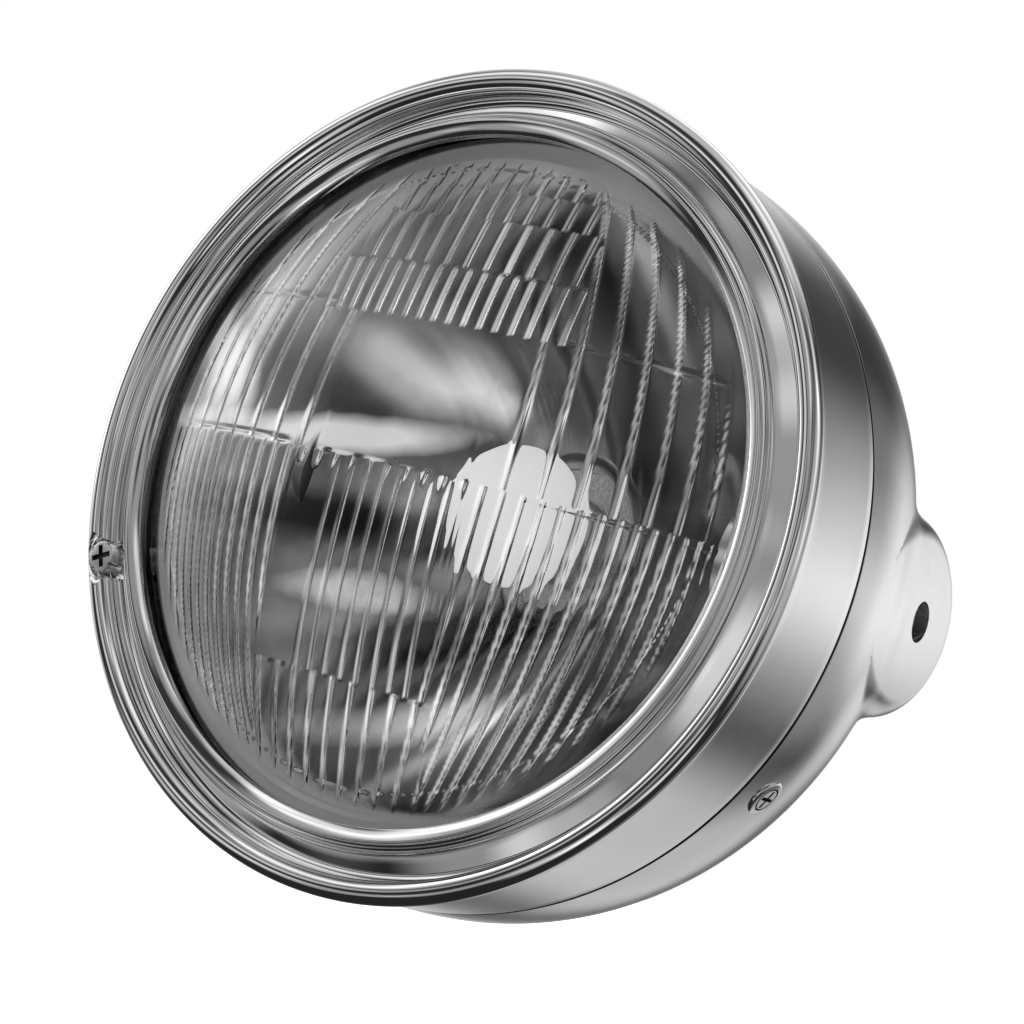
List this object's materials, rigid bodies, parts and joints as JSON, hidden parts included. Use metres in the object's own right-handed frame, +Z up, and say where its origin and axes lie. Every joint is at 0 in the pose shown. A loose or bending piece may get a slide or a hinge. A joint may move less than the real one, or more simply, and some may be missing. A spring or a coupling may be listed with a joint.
{
  "type": "round motorcycle headlight",
  "caption": "Round chromed motorcycle headlight with a fluted glass lens, a flush rim, tapped side bosses and a sideways aim adjuster.",
  "frame": {"origin": "where the axis through the two side bolt holes crosses the lamp's own axis", "axes": "-Y looks out through the lens along the lamp's axis, +Z is up as mounted, +X points out of the right-hand bolt hole as seen from in front"},
  "size_m": [0.2008, 0.1444, 0.2008],
  "materials": {
    "chromed_bowl": "chromed pressed steel, soft bright reflections",
    "chromed_rim": "mirror-bright chromed pressed steel",
    "chromed_screws": "chromed cross-head screws",
    "zinc_plated_steel": "zinc plated steel",
    "spring_steel": "bare spring steel",
    "brass_nut": "turned brass",
    "black_rubber": "moulded black rubber",
    "clear_glass": "clear pressed glass, fluted inside",
    "silvered_reflector": "vapour-silvered steel",
    "bulb_glass": "clear bulb glass",
    "bulb_metal": "nickel plated steel",
    "tungsten_wire": "dull tungsten",
    "brass_blades": "tinned brass"
  },
  "bodies": {
    "housing": {"bowl": "chromed_bowl", "left_mount_bush": "zinc_plated_steel", "right_mount_bush": "zinc_plated_steel", "rear_grommet": "black_rubber", "rim": "chromed_rim", "left_rim_screw": "chromed_screws", "right_rim_screw": "chromed_screws", "left_clip_nut": "spring_steel", "right_clip_nut": "spring_steel", "upper_pivot_stud": "zinc_plated_steel", "lower_pivot_stud": "zinc_plated_steel", "adjuster_spring": "spring_steel"},
    "light_unit": {"lens": "clear_glass", "lens_seal": "black_rubber", "reflector": "silvered_reflector", "retaining_ring": "zinc_plated_steel", "unit_ring": "zinc_plated_steel", "unit_screws": "zinc_plated_steel", "adjuster_nut": "brass_nut", "bulb_glass": "bulb_glass", "bulb_base": "bulb_metal", "bulb_filaments": "tungsten_wire", "bulb_shield": "bulb_metal", "bulb_terminals": "brass_blades", "bulb_clip": "spring_steel", "bulb_boot": "black_rubber"},
    "adjuster": {"adjuster_screw": "chromed_screws"}
  },
  "joints": [
    {"name": "beam_swing", "type": "hinge", "parent": "housing", "child": "light_unit", "pos_m": [0, -0.056, 0], "axis": [0, 0, 1], "range_deg": [-1.5, 1.5], "deforming": ["adjuster_spring"]},
    {"name": "adjuster_turn", "type": "hinge", "parent": "housing", "child": "adjuster", "pos_m": [-0.08547, -0.07, -0.03913], "axis": [0, 1, 0], "range_deg": [-1160, 1160]}
  ],
  "couplings": [
    {"joint": "adjuster_turn", "follows": "beam_swing", "ratio": 767.2}
  ]
}
